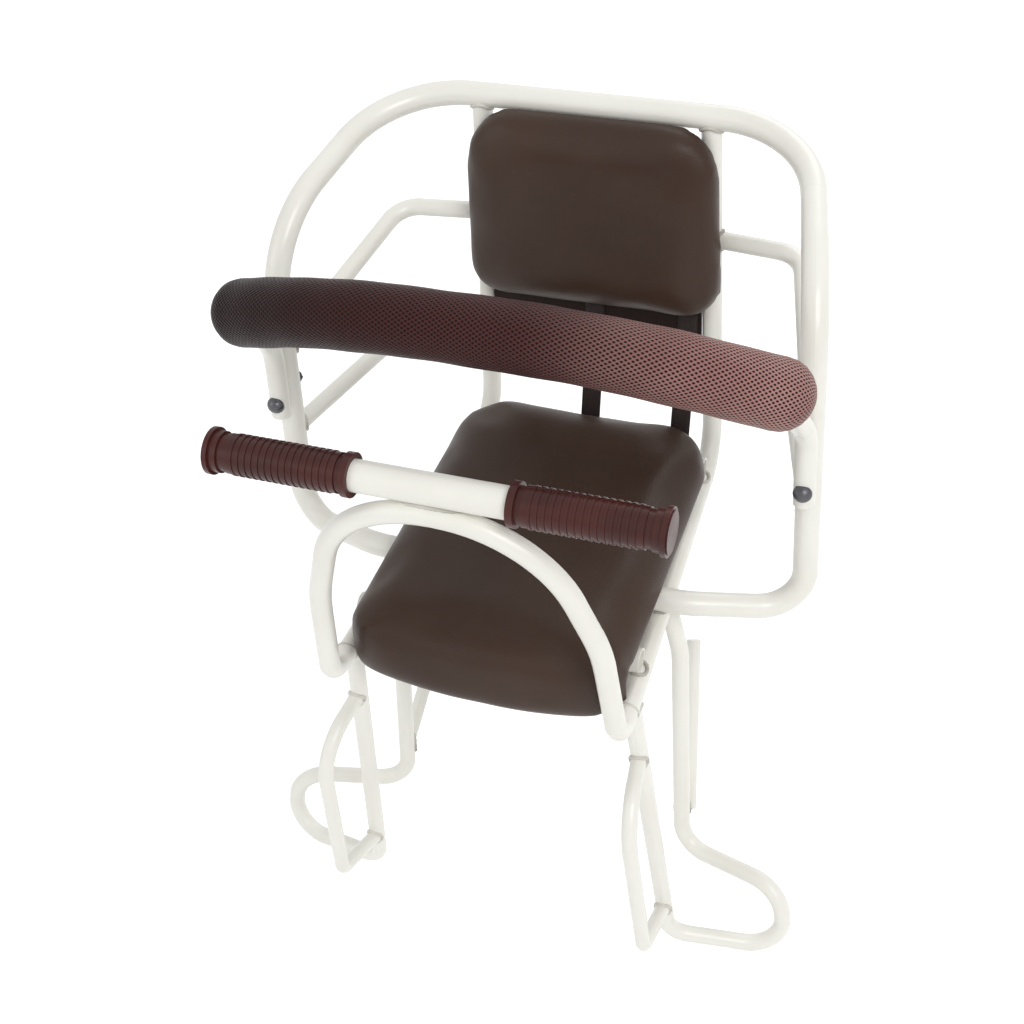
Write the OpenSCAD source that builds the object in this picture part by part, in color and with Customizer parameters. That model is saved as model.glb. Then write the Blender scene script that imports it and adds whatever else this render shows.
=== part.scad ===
// Rear child bike seat: welded steel tube frame with a guard loop, a front
// hoop with a grab bar, a padded guard bar, two foot loops, a padded seat
// and a padded back.  The seat faces -Y, +X is the child's left hand side.
// Sizes in mm.  Origin: middle of the rack bolt pattern, on the underside of
// the two flat straps below the seat.

/* [Rails and uprights] */
// outside diameter of rails, uprights and front hoop
rail_d = 16; // [14:0.5:20]
// wall thickness of all bent tubes
tube_wall = 1.5; // [1:0.1:2]
// centre spacing of the rails at the back
rail_gap_back = 200; // [180:1:220]
// centre spacing of the rails at the front
rail_gap_front = 226; // [200:1:250]
// rail length from hoop foot corner to upright corner
rail_length = 325; // [290:1:350]
// bend radius between rail and upright
corner_r = 40; // [30:1:50]
// height of the top bar above the rails
upright_h = 302.5; // [280:0.5:330]
// how far the uprights lean back at the top bar
upright_lean = 25; // [10:1:40]

/* [Guard loop] */
// outside diameter of the guard loop tube
loop_d = 19; // [16:0.5:22]
// overall centre width at the bottom corners
loop_w_low = 424; // [390:1:450]
// centre width at the front shoulders
loop_w_high = 408; // [380:1:440]
// centre width of the straight top bar between its bend corners
loop_w_top = 332; // [300:1:350]
// depth from the top bar forward to the shoulders
loop_depth = 164; // [140:1:190]
// drop from the top bar to the shoulders
loop_drop = 39; // [25:1:60]
// bend radius of the four upper bends
loop_r = 85; // [70:1:90]
// bend radius of the two lower corners
loop_r_low = 30; // [24:1:34]

/* [Side arms] */
// outside diameter of the four side arms
arm_d = 14; // [12:0.5:16]
// bend radius of the side arms
arm_r = 25; // [20:1:30]
// height of the upper pair above the rails
arm_high = 202.5; // [190:0.5:215]
// height of the lower pair above the rails
arm_low = 96.5; // [85:0.5:110]

/* [Front hoop and grab bar] */
// height of the hoop crown above the rails
hoop_h = 206.5; // [190:0.5:220]
// bend radius of the hoop crown
hoop_r = 92; // [84:1:95]
// bend radius at the hoop feet
foot_r = 18; // [16:1:24]
// outside diameter of the grab bar tube
grab_d = 22.2; // [20:0.1:25.4]
// length of the grab bar tube
grab_len = 311; // [290:1:340]
// diameter of the rubber grips
grip_d = 27.5; // [26:0.5:32]
// length of one grip with its end cap
grip_len = 104; // [90:1:120]

/* [Padded guard bar] */
// diameter of the foam cover
foam_d = 52; // [45:1:62]
// diameter of the steel core
core_d = 16; // [14:0.5:19]
// bend radius of the arched middle
arch_r = 280; // [240:5:300]
// diameter of the domed bolt heads
bolt_head_d = 14; // [12:0.5:16]

/* [Legs and foot loops] */
// diameter of the leg and foot loop rods
leg_d = 14; // [12:0.5:16]
// diameter of the front guard rods and rear stays
guard_d = 12; // [10:0.5:14]
// depth of the foot loops below the rails
leg_depth = 264; // [240:1:290]
// how far the foot loops stand out from the legs
foot_out = 93; // [80:1:110]

/* [Cushions] */
// width of the seat cushion
seat_w = 226; // [210:1:240]
// length of the seat cushion
seat_l = 290; // [260:1:300]
// thickness of the seat cushion
seat_t = 22; // [18:1:30]
// width of the back cushion
back_w = 206; // [180:1:215]
// height of the back cushion
back_h = 156; // [140:1:165]
// thickness of the back cushion
back_t = 30; // [20:1:32]

/* [Rack mounting] */
// sideways spacing of the rack bolt holes
hole_gap_x = 80; // [60:1:120]
// lengthwise spacing of the rack bolt holes
hole_gap_y = 180; // [160:1:190]
// diameter of the rack bolt holes
hole_d = 6.5; // [5.5:0.1:8.5]
// thickness of the flat rack straps
strap_t = 4; // [3:0.5:5]

/* [Hidden] */
$fn = 72;
clear = 0.3;
sink = 0.5;

// heights and lines shared by the frame
rail_z = strap_t - sink + rail_d / 2;
back_y = rail_length / 2;
front_y = -rail_length / 2;
top_z = rail_z + upright_h;
top_y = back_y + upright_lean;
over_z = rail_z + rail_d / 2 + loop_d / 2 - sink;
lean = atan2(upright_lean, upright_h);

function unit(v) = v / norm(v);
function mix(a, b, t) = a + (b - a) * t;
// point on the line a-b where its height is z
function at_z(a, b, z) = mix(a, b, (z - a[2]) / (b[2] - a[2]));
// point on the line a-b where its depth is y
function at_y(a, b, y) = mix(a, b, (y - a[1]) / (b[1] - a[1]));
function flip(p) = [-p[0], p[1], p[2]];

// angle by which a path turns at its point i
function turn(p, i) = acos(unit(p[i] - p[i - 1]) * unit(p[i + 1] - p[i]));
// length that the bend at point i takes from both of its straights
function used(p, r, i) = (i < 1 || i > len(p) - 2) ? 0 : r[i - 1] * tan(turn(p, i) / 2);
// path made longer by e at both ends, for a bore that leaves the tube
function longer(p, e) = [for (i = [0:len(p) - 1])
    i == 0 ? p[0] - unit(p[1] - p[0]) * e
    : i == len(p) - 1 ? p[i] + unit(p[i] - p[i - 1]) * e : p[i]];

module straight(a, b, d) {
    v = b - a;
    translate(a)
        rotate([0, acos(v[2] / norm(v)), atan2(v[1], v[0])])
            cylinder(h = norm(v), d = d);
}

// normal of the plane in which the path turns at point i
function side(p, i) = unit(cross(unit(p[i] - p[i - 1]), unit(p[i + 1] - p[i])));
// twist of the bending plane from one bend to the next
function roll(p, i) = i < 2 ? 0
    : atan2(cross(side(p, i - 1), side(p, i)) * unit(p[i] - p[i - 1]),
        side(p, i - 1) * side(p, i));
// clear straight length between the bends at points i and i + 1
function rest(p, r, i) = norm(p[i + 1] - p[i]) - used(p, r, i) - used(p, r, i + 1);

// straight i of the path and all that follows, each piece in the frame of
// the one before, as a bending machine feeds, turns and bends the tube
module run(p, r, d, i) {
    ends = [i > 0 ? 1 : 0, i < len(p) - 2 ? 1 : 0];
    translate([0, 0, -ends[0]])
        cylinder(h = rest(p, r, i) + ends[0] + ends[1], d = d);
    if (i < len(p) - 2)
        translate([0, 0, rest(p, r, i)])
            rotate([0, 0, roll(p, i + 1)])
                translate([r[i], 0, 0]) {
                    rotate([90, 0, 180])
                        rotate_extrude(angle = turn(p, i + 1))
                            translate([r[i], 0])
                                circle(d = d + 0.2);
                    rotate([0, turn(p, i + 1), 0])
                        translate([-r[i], 0, 0])
                            run(p, r, d, i + 1);
                }
}

// round bar that follows the corner points p with the bend radii r
module bent_bar(p, r, d) {
    z = unit(p[1] - p[0]);
    y = side(p, 1);
    x = cross(y, z);
    up = abs(x[2]) > 0.99999;
    a = up ? atan2(-z[1], y[1]) : atan2(y[2], z[2]);
    b = -asin(max(-1, min(1, x[2])));
    c = up ? 0 : atan2(x[1], x[0]);
    translate(p[0])
        rotate([a, b, c])
            run(p, r, d, 0);
}

module bent_tube(p, r, d) {
    difference() {
        bent_bar(p, r, d);
        bent_bar(longer(p, 2), r, d - 2 * tube_wall);
    }
}

// a frame member and its mirror image, joined in the middle plane
module both_halves() {
    children();
    mirror([1, 0, 0])
        children();
}

// corner points of the frame, right hand side of the photo (+X)
loop_top = [loop_w_top / 2, top_y, top_z];
loop_shoulder = [loop_w_high / 2, top_y - loop_depth, top_z - loop_drop];
loop_low = [loop_w_low / 2, 3, over_z - 19.5];
loop_in = [128, -35, over_z];
loop_mid = [0, -35, over_z];
rail_front = [rail_gap_front / 2, front_y, rail_z];
rail_back = [rail_gap_back / 2, back_y, rail_z];
upright_top = [rail_gap_back / 2 - 9, top_y, top_z];
butt = at_y(rail_front, rail_back, front_y + 27);
hoop_side = [rail_gap_front / 2 - 7.5, front_y - 3.5, rail_z + 93.5];
hoop_top = [70.5, front_y - 16.5, rail_z + hoop_h];
grab_c = [0, front_y - 11.5, rail_z + hoop_h + rail_d / 2 + grab_d / 2 - 1];

loop_path = [loop_mid, loop_in, loop_low, loop_shoulder, loop_top, [-4, top_y, top_z]];
loop_radii = [60, loop_r_low, loop_r, loop_r];

module guard_loop() {
    color("white")
    difference() {
        both_halves()
            bent_bar(loop_path, loop_radii, loop_d);
        both_halves()
            bent_bar(loop_path, loop_radii, loop_d - 2 * tube_wall);
        guard_bolt_holes();
    }
}

hoop_path = [[0, hoop_top[1], hoop_top[2]], hoop_top, hoop_side, rail_front, butt];
hoop_radii = [hoop_r, 150, foot_r];

module front_hoop() {
    color("white")
    difference() {
        both_halves()
            bent_bar(hoop_path, hoop_radii, rail_d);
        both_halves()
            bent_bar(longer(hoop_path, 2), hoop_radii, rail_d - 2 * tube_wall);
        straight(grab_c - [60, 0, 0], grab_c + [60, 0, 0], grab_d);
        leg_rod_cut();
        mirror([1, 0, 0])
            leg_rod_cut();
    }
}

// the rails are notched where other parts are welded on
module seat_rail() {
    difference() {
        bent_tube([butt, rail_back, upright_top], [corner_r], rail_d);
        straight([0, top_y, top_z], [200, top_y, top_z], loop_d);
        straight(loop_mid, loop_in, loop_d + 0.2);
        for (y = [crossbar_front_y, crossbar_rear_y])
            straight([0, y, over_z], [200, y, over_z], loop_d);
        for (y = [-hole_gap_y / 2, hole_gap_y / 2])
            translate([0, y - 15, 0])
                cube([200, 30, strap_t]);
    }
}

module seat_rail_right() {
    color("white")
        seat_rail();
}

module seat_rail_left() {
    color("white")
    mirror([1, 0, 0])
        seat_rail();
}

// a side arm: out from the upright, then forward to the side of the loop
module side_arm(h, corner, drop) {
    from = at_z(rail_back, upright_top, rail_z + h);
    to = at_z(loop_shoulder, loop_low, rail_z + h - drop);
    difference() {
        bent_tube([from, [corner, top_y - 16, rail_z + h], to], [arm_r], arm_d);
        straight(rail_back, upright_top, rail_d);
        straight(loop_shoulder, loop_low, loop_d);
    }
}

module upper_arm_right() {
    color("white")
        side_arm(arm_high, 166, 43);
}

module upper_arm_left() {
    color("white")
    mirror([1, 0, 0])
        side_arm(arm_high, 166, 43);
}

module lower_arm_right() {
    color("white")
        side_arm(arm_low, 160, 10);
}

module lower_arm_left() {
    color("white")
    mirror([1, 0, 0])
        side_arm(arm_low, 160, 10);
}

// two tubes across the rails, level with the bottom bar of the loop
crossbar_front_y = -100;
crossbar_rear_y = 119.5;
seat_bolt_x = 60;

module crossbar(y) {
    half = at_y(rail_front, rail_back, y)[0] + 2;
    difference() {
        straight([-half, y, over_z], [half, y, over_z], loop_d);
        straight([-half - 1, y, over_z], [half + 1, y, over_z], loop_d - 2 * tube_wall);
        for (x = [-seat_bolt_x, seat_bolt_x])
            translate([x, y, over_z - loop_d])
                cylinder(h = 2 * loop_d, d = 5.4);
    }
}

module front_crossbar() {
    color("white")
        crossbar(crossbar_front_y);
}

module rear_crossbar() {
    color("white")
        crossbar(crossbar_rear_y);
}

// flat strap under both rails with two holes for the bolts of the rack
module rack_strap(y) {
    half = at_y(rail_front, rail_back, y)[0] + 5;
    difference() {
        translate([-half, y - 15, 0])
            cube([2 * half, 30, strap_t]);
        for (x = [-hole_gap_x / 2, hole_gap_x / 2])
            translate([x, y, -1])
                cylinder(h = strap_t + 2, d = hole_d);
    }
}

module front_rack_strap() {
    color("white")
        rack_strap(-hole_gap_y / 2);
}

module rear_rack_strap() {
    color("white")
        rack_strap(hole_gap_y / 2);
}

// everything fixed to the uprights is drawn in their leaning plane:
// x sideways, y behind the upright axis, z up along the upright
module on_uprights() {
    translate([0, back_y, rail_z])
        rotate([-lean, 0, 0])
            children();
}

back_board_low = 105;
back_board_h = 178;
back_pad_low = 139;
back_bar_z = [165, 258];
back_screw_x = 55;

module back_bar(z) {
    difference() {
        on_uprights()
            difference() {
                translate([-99, -2, z - 10])
                    cube([198, 3, 20]);
                for (x = [-back_screw_x, back_screw_x])
                    translate([x, -5, z])
                        rotate([-90, 0, 0])
                            cylinder(h = 10, d = 4.4);
            }
        straight(rail_back, upright_top, rail_d);
        straight(flip(rail_back), flip(upright_top), rail_d);
    }
}

module back_bar_lower() {
    color("white")
        back_bar(back_bar_z[0]);
}

module back_bar_upper() {
    color("white")
        back_bar(back_bar_z[1]);
}

module grab_bar() {
    color("white")
    difference() {
        straight(grab_c - [grab_len / 2, 0, 0], grab_c + [grab_len / 2, 0, 0], grab_d);
        straight(grab_c - [grab_len, 0, 0], grab_c + [grab_len, 0, 0], grab_d - 2 * tube_wall);
    }
}

// ribbed rubber grip, closed at its outer end, drawn outward along +X
module grip() {
    x0 = grab_len / 2 - grip_len + 3;
    translate([0, grab_c[1], grab_c[2]])
        rotate([0, 90, 0])
            difference() {
                union() {
                    translate([0, 0, x0])
                        cylinder(h = grip_len - 9, d = grip_d - 2);
                    translate([0, 0, x0])
                        cylinder(h = 5, d = grip_d + 3);
                    translate([0, 0, x0 + 9])
                        cylinder(h = grip_len - 24, d = grip_d);
                    for (i = [0:14])
                        translate([0, 0, x0 + 14 + i * (grip_len - 36) / 14])
                            cylinder(h = 2, d = grip_d + 1.2);
                    translate([0, 0, x0 + grip_len - 10])
                        cylinder(h = 10, d = grip_d + 1);
                    translate([0, 0, x0 + grip_len - 4.5])
                        cylinder(h = 3.5, d = grip_d + 5);
                }
                translate([0, 0, x0 - 1])
                    cylinder(h = grip_len - 2, d = grab_d);
            }
}

module grip_right() {
    color("brown")
        grip();
}

module grip_left() {
    color("brown")
    mirror([1, 0, 0])
        grip();
}

// the core of the guard bar is arched in the middle, turns down at both
// ends and lies against the front of the loop, where it is bolted on
arch_mid = [0, -87, 297.5];
arch_side = [93, -87, 297.5];
arch_end = [195, -49, 254.5];
side_z = 138;
side_dir = unit(loop_low - loop_shoulder);
in_front = [0, -(core_d + loop_d) / 2 + sink, 0];
core_k = at_z(loop_shoulder, loop_low, 185) + in_front;
core_low = at_z(loop_shoulder, loop_low, 124) + in_front;
core_path = [arch_mid, arch_side, arch_end, core_k, core_low];
core_radii = [arch_r, 22, 40];

module guard_bar_core() {
    color("white")
    difference() {
        both_halves()
            bent_bar(core_path, core_radii, core_d);
        both_halves()
            bent_bar(longer(core_path, 2), core_radii, core_d - 2 * tube_wall);
        straight(loop_shoulder, loop_low, loop_d + 0.2);
        straight(flip(loop_shoulder), flip(loop_low), loop_d + 0.2);
        guard_bolt_holes();
    }
}

module guard_bar_pad() {
    color("brown")
    difference() {
        both_halves() {
            bent_bar([arch_mid, arch_side, arch_end], [arch_r], foam_d);
            translate(arch_end)
                sphere(d = foam_d + 0.4);
        }
        both_halves()
            bent_bar(core_path, core_radii, core_d + 2 * clear);
    }
}

bolt_c = at_z(loop_shoulder, loop_low, side_z);
bolt_front = bolt_c[1] + in_front[1] - core_d / 2;
bolt_back = bolt_c[1] + loop_d / 2;

module guard_bolt_holes() {
    for (x = [-bolt_c[0], bolt_c[0]])
        translate([x, bolt_front - 5, side_z])
            rotate([-90, 0, 0])
                cylinder(h = core_d + loop_d + 10, d = 6.4);
}

// both ends of the bolt are shaped to the tubes that they clamp
module guard_bolt() {
    difference() {
        translate([bolt_c[0], bolt_front, side_z])
            rotate([-90, 0, 0])
                intersection() {
                    translate([0, 0, 1.6])
                        sphere(d = bolt_head_d + 0.4);
                    translate([0, 0, -10])
                        cylinder(h = 11.5, d = bolt_head_d);
                }
        straight(core_k, core_low, core_d);
    }
    translate([bolt_c[0], bolt_front - 1, side_z])
        rotate([-90, 0, 0])
            cylinder(h = bolt_back - bolt_front + 9, d = 6);
}

module guard_bolts() {
    color("silver")
        both_halves()
            guard_bolt();
}

module guard_nut() {
    difference() {
        translate([bolt_c[0], bolt_back - 1.5, side_z])
            rotate([-90, 0, 0])
                linear_extrude(height = 6.5)
                    polygon([for (i = [0:5]) [5.8 * cos(60 * i), 5.8 * sin(60 * i)]]);
        straight(loop_shoulder, loop_low, loop_d);
        translate([bolt_c[0], bolt_back - 3, side_z])
            rotate([-90, 0, 0])
                cylinder(h = 10, d = 6);
    }
}

module guard_nuts() {
    color("silver")
        both_halves()
            guard_nut();
}

// flat plate with round corners, drawn from the middle
module plate(w, l, t, r) {
    translate([-w / 2 + r, -l / 2, 0])
        cube([w - 2 * r, l, t]);
    translate([-w / 2, -l / 2 + r, 0])
        cube([w, l - 2 * r, t]);
    for (x = [-w / 2 + r, w / 2 - r])
        for (y = [-l / 2 + r, l / 2 - r])
            translate([x, y, 0])
                cylinder(h = t, r = r);
}

// cushion with round corners r, its top face set in by e all round
module cushion(w, l, t, r, e) {
    plate(w, l, t - e, r);
    plate(w - 2 * e, l - 2 * e, t, r - e);
}

board_z = over_z + loop_d / 2;
board_t = 6;
board_w = 190;
board_l = 250;
board_y = 5;
seat_back_y = 134;

module seat_board() {
    color("dimgray")
    difference() {
        translate([0, board_y, board_z])
            plate(board_w, board_l, board_t, 25);
        for (y = [crossbar_front_y, crossbar_rear_y])
            for (x = [-seat_bolt_x, seat_bolt_x])
                translate([x, y, board_z - 1])
                    cylinder(h = board_t + 2, d = 5.4);
    }
}

// the cushion is drawn over the edges of the board like a lid, and its front
// roll hangs over the front edge
module seat_pad() {
    color("saddlebrown")
    difference() {
        union() {
            translate([0, seat_back_y - seat_l / 2, board_z + 1])
                cushion(seat_w, seat_l, board_t + seat_t - 1 + clear, 45, 5);
            translate([0, seat_back_y - seat_l + 16, board_z - 24])
                plate(200, 32, board_t + 40, 15);
        }
        translate([0, board_y, board_z - 30])
            plate(board_w + 2 * clear, board_l + 2 * clear, board_t + 30 + clear, 25);
    }
}

module seat_bolts() {
    color("silver")
    for (y = [crossbar_front_y, crossbar_rear_y])
        for (x = [-seat_bolt_x, seat_bolt_x])
            translate([x, y, over_z - loop_d / 2]) {
                cylinder(h = loop_d + board_t - 0.5, d = 5);
                translate([0, 0, -3.5])
                    linear_extrude(height = 3.5)
                        polygon([for (i = [0:5]) [4.6 * cos(60 * i), 4.6 * sin(60 * i)]]);
            }
}

// the back board is shaped to the uprights, which come closer at the top
module back_board() {
    color("dimgray")
    difference() {
        on_uprights()
            difference() {
                translate([0, -2, back_board_low + back_board_h / 2])
                    rotate([90, 0, 0])
                        plate(177, back_board_h, 6, 12);
                for (z = back_bar_z)
                    for (x = [-back_screw_x, back_screw_x])
                        translate([x, -10, z])
                            rotate([-90, 0, 0])
                                cylinder(h = 12, d = 4.4);
            }
        straight(rail_back, upright_top, rail_d + 2 * clear);
        straight(flip(rail_back), flip(upright_top), rail_d + 2 * clear);
    }
}

module back_pad() {
    color("saddlebrown")
    on_uprights()
        translate([0, -8 - clear, back_pad_low + back_h / 2])
            rotate([90, 0, 0])
                cushion(back_w, back_h, back_t, 42, 5);
}

module back_screws() {
    color("silver")
    on_uprights()
        for (z = back_bar_z)
            for (x = [-back_screw_x, back_screw_x])
                translate([x, 1, z])
                    rotate([90, 0, 0]) {
                        cylinder(h = 8, d = 4);
                        translate([0, 0, -2.5])
                            cylinder(h = 2.5, d = 8);
                    }
}

// webbing strap: wrapped under the rear crossbar, up behind the seat cushion
// and flat on the front of the back board
web_w = 16;
web_t = 2.2;

module webbing(x) {
    up = [sin(lean), cos(lean)];
    back = [cos(lean), -sin(lean)];
    low = [crossbar_rear_y + 12.4, over_z + 2];
    high = [back_y, rail_z] + up * (back_board_low + 6) - back * (8 + web_t + 0.1);
    along = unit(high - low);
    across = [along[1], -along[0]];
    miter = (across + back) / (1 + across * back);
    start = low - along * 8;
    end = high + up * (back_pad_low - back_board_low - 6 - clear);
    difference() {
        union() {
            translate([x - web_w / 2, 0, 0])
                rotate([90, 0, 90])
                    linear_extrude(height = web_w)
                        polygon([start, high, end, end + back * web_t,
                            high + miter * web_t, start + across * web_t]);
            straight([x - web_w / 2, crossbar_rear_y, over_z],
                [x + web_w / 2, crossbar_rear_y, over_z], loop_d + 2 * web_t);
        }
        straight([x - web_w, crossbar_rear_y, over_z],
            [x + web_w, crossbar_rear_y, over_z], loop_d + 0.3);
        translate([x - web_w, crossbar_rear_y - 20, over_z])
            cube([2 * web_w, 28, 20]);
    }
}

module webbing_middle() {
    color("black")
        webbing(0);
}

module webbing_side() {
    color("black")
        webbing(78);
}

// the leg rod: down from the rail, out and round the foot loop, back in
// and up to the front of the rail
rod_rear_top = at_y(rail_front, rail_back, -13);
rod_front_top = at_y(rail_front, rail_back, -125.5);
leg_low_z = rail_z - leg_depth;
rod_path = [rod_rear_top, [121.5, -25, rail_z - 50], [129, -52, leg_low_z],
    [129 + foot_out, -86, leg_low_z + 17], [138 + foot_out, -98, leg_low_z - 49],
    [134.5, -118.5, leg_low_z - 35], rod_front_top];
rod_radii = [40, 23, 27, 27, 22];

module leg_rod_cut() {
    bent_bar(rod_path, rod_radii, leg_d);
}

module foot_rod() {
    difference() {
        bent_tube(rod_path, rod_radii, leg_d);
        straight(butt, rail_back, rail_d);
    }
}

module foot_rod_right() {
    color("white")
        foot_rod();
}

module foot_rod_left() {
    color("white")
    mirror([1, 0, 0])
        foot_rod();
}

// the guard rod leaves the front leg, bows forward and returns to its foot
module foot_guard() {
    from = at_z(rod_front_top, rod_path[5], rail_z - 62);
    to = at_z(rod_front_top, rod_path[5], leg_low_z + 3);
    difference() {
        bent_tube([from, [123.5, -185, from[2] - 8], [132, -182, leg_low_z + 36], to],
            [40, 12], guard_d);
        straight(rod_front_top, rod_path[5], leg_d);
    }
}

module foot_guard_right() {
    color("white")
        foot_guard();
}

module foot_guard_left() {
    color("white")
    mirror([1, 0, 0])
        foot_guard();
}

// short stay welded to the back of the leg, leaning back to a free top end
module rear_stay() {
    difference() {
        straight([131.5, -37, leg_low_z + 32], [112, 54, leg_low_z + 144], guard_d);
        straight(rod_path[1], rod_path[2], leg_d);
    }
}

module rear_stay_right() {
    color("white")
        rear_stay();
}

module rear_stay_left() {
    color("white")
    mirror([1, 0, 0])
        rear_stay();
}

guard_loop();
front_hoop();
seat_rail_left();
seat_rail_right();
upper_arm_left();
upper_arm_right();
lower_arm_left();
lower_arm_right();
front_crossbar();
rear_crossbar();
front_rack_strap();
rear_rack_strap();
back_bar_upper();
back_bar_lower();
grab_bar();
grip_left();
grip_right();
guard_bar_core();
guard_bar_pad();
guard_bolts();
guard_nuts();
seat_board();
seat_pad();
seat_bolts();
back_board();
back_pad();
back_screws();
webbing_middle();
webbing_side();
foot_rod_left();
foot_rod_right();
foot_guard_left();
foot_guard_right();
rear_stay_left();
rear_stay_right();
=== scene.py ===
import math

import bmesh
import bpy
from mathutils import Matrix, Vector


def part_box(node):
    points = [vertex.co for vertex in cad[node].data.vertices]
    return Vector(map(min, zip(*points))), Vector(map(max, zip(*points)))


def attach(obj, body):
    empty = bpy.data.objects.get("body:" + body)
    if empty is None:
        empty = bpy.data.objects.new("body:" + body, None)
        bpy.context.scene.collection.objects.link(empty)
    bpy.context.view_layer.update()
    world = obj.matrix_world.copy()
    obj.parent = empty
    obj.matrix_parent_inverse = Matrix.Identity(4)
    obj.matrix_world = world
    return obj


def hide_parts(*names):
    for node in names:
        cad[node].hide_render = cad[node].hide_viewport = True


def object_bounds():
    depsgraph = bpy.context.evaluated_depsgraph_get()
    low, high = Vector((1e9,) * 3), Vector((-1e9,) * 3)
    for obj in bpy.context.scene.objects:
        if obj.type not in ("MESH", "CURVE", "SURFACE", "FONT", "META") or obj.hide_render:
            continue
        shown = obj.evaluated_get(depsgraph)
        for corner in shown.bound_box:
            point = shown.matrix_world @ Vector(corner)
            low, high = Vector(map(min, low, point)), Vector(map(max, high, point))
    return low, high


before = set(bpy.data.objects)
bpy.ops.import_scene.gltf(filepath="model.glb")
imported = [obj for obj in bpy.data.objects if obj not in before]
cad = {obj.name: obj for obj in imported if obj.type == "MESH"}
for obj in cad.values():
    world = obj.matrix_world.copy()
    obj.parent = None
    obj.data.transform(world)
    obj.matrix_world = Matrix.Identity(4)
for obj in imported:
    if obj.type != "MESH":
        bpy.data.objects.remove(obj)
cad_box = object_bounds()

# ---------------------------------------------------------------- studio
# The seat is photographed from above its front left, with a longish lens.
# A wide soft lamp stands to the right of the lens, a weaker one to the left
# and one behind; floor and surroundings are white.
camera_data = bpy.data.cameras.new("camera")
camera_data.sensor_width = 36
camera_data.lens = 56.25
camera_data.clip_start = 0.05
camera_data.clip_end = 60
camera = bpy.data.objects.new("camera", camera_data)
bpy.context.scene.collection.objects.link(camera)
view_right = Vector((0.9404, 0.3314, -0.0765)).normalized()
view_back = Vector((0.2943, -0.6800, 0.6715)).normalized()
view_up = view_back.cross(view_right).normalized()
view_right = view_up.cross(view_back)
camera.matrix_world = Matrix.LocRotScale(
    Vector((0.3506, -0.8597, 0.9061)),
    Matrix((view_right, view_up, view_back)).transposed().to_quaternion(),
    None,
)
bpy.context.scene.camera = camera
bpy.context.scene.view_settings.view_transform = "Standard"


LIT_SPOT = Vector((0, 0, 0.05))


def soft_lamp(name, place, size, power):
    """A square soft box that faces the middle of the seat."""
    data = bpy.data.lights.new(name, "AREA")
    data.size = size
    data.energy = power
    lamp = bpy.data.objects.new(name, data)
    bpy.context.scene.collection.objects.link(lamp)
    aim = LIT_SPOT - Vector(place)
    lamp.matrix_world = Matrix.LocRotScale(
        Vector(place), aim.to_track_quat("-Z", "Y"), None
    )


soft_lamp("key_lamp", (1.6, -1.5, 2.1), 1.3, 35)
soft_lamp("fill_lamp", (-1.9, -1.6, 1.2), 1.8, 10)
soft_lamp("rim_lamp", (0.3, 2.2, 1.7), 1.5, 16)


def nodes_of(material):
    """The material's node tree, its Principled shader and a link function."""
    material.use_nodes = True
    tree = material.node_tree
    shader = tree.nodes["Principled BSDF"]
    return tree, shader, tree.links.new


def white_for_the_lens(tree, link, strength):
    """One where a camera, glossy or transmission ray looks, times strength."""
    path = tree.nodes.new("ShaderNodeLightPath")
    seen = path.outputs["Is Camera Ray"]
    for ray in ("Is Glossy Ray", "Is Transmission Ray"):
        either = tree.nodes.new("ShaderNodeMath")
        either.operation = "MAXIMUM"
        link(seen, either.inputs[0])
        link(path.outputs[ray], either.inputs[1])
        seen = either.outputs[0]
    scaled = tree.nodes.new("ShaderNodeMath")
    scaled.operation = "MULTIPLY"
    link(seen, scaled.inputs[0])
    scaled.inputs[1].default_value = strength
    return scaled.outputs[0]


WORLD_LIGHT = 0.65
FLOOR_GLOW = 0.36
FLOOR_DROP = 0.002

world = bpy.data.worlds.new("studio")
bpy.context.scene.world = world
world.use_nodes = True
sky_link = world.node_tree.links.new
sky = world.node_tree.nodes["Background"]
sky.inputs["Color"].default_value = (1, 1, 1, 1)
sky_lift = world.node_tree.nodes.new("ShaderNodeMath")
sky_lift.operation = "ADD"
sky_white = white_for_the_lens(world.node_tree, sky_link, 1 - WORLD_LIGHT)
sky_link(sky_white, sky_lift.inputs[0])
sky_lift.inputs[1].default_value = WORLD_LIGHT
sky_link(sky_lift.outputs[0], sky.inputs["Strength"])

floor_paper = bpy.data.materials.new("floor_paper")
tree, shader, link = nodes_of(floor_paper)
shader.inputs["Base Color"].default_value = (0.93, 0.93, 0.93, 1)
shader.inputs["Roughness"].default_value = 0.9
shader.inputs["Emission Color"].default_value = (1, 1, 1, 1)
floor_white = white_for_the_lens(tree, link, FLOOR_GLOW)
link(floor_white, shader.inputs["Emission Strength"])

bm = bmesh.new()
bmesh.ops.create_grid(bm, x_segments=2, y_segments=2, size=9)
bmesh.ops.translate(bm, verts=bm.verts, vec=(0, 0, cad_box[0].z - FLOOR_DROP))
floor_mesh = bpy.data.meshes.new("floor")
bm.to_mesh(floor_mesh)
bm.free()
floor = bpy.data.objects.new("floor", floor_mesh)
bpy.context.scene.collection.objects.link(floor)
floor_mesh.materials.append(floor_paper)

# ---------------------------------------------------------------- frame tubes
# Bent and welded steel tube, flat straps and bars, sprayed as one with a
# thick warm white enamel that shows a faint orange peel and a little dust.


def node(tree, kind, **settings):
    """A new shader node with its properties set."""
    made = tree.nodes.new(kind)
    for key, value in settings.items():
        setattr(made, key, value)
    return made


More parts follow.
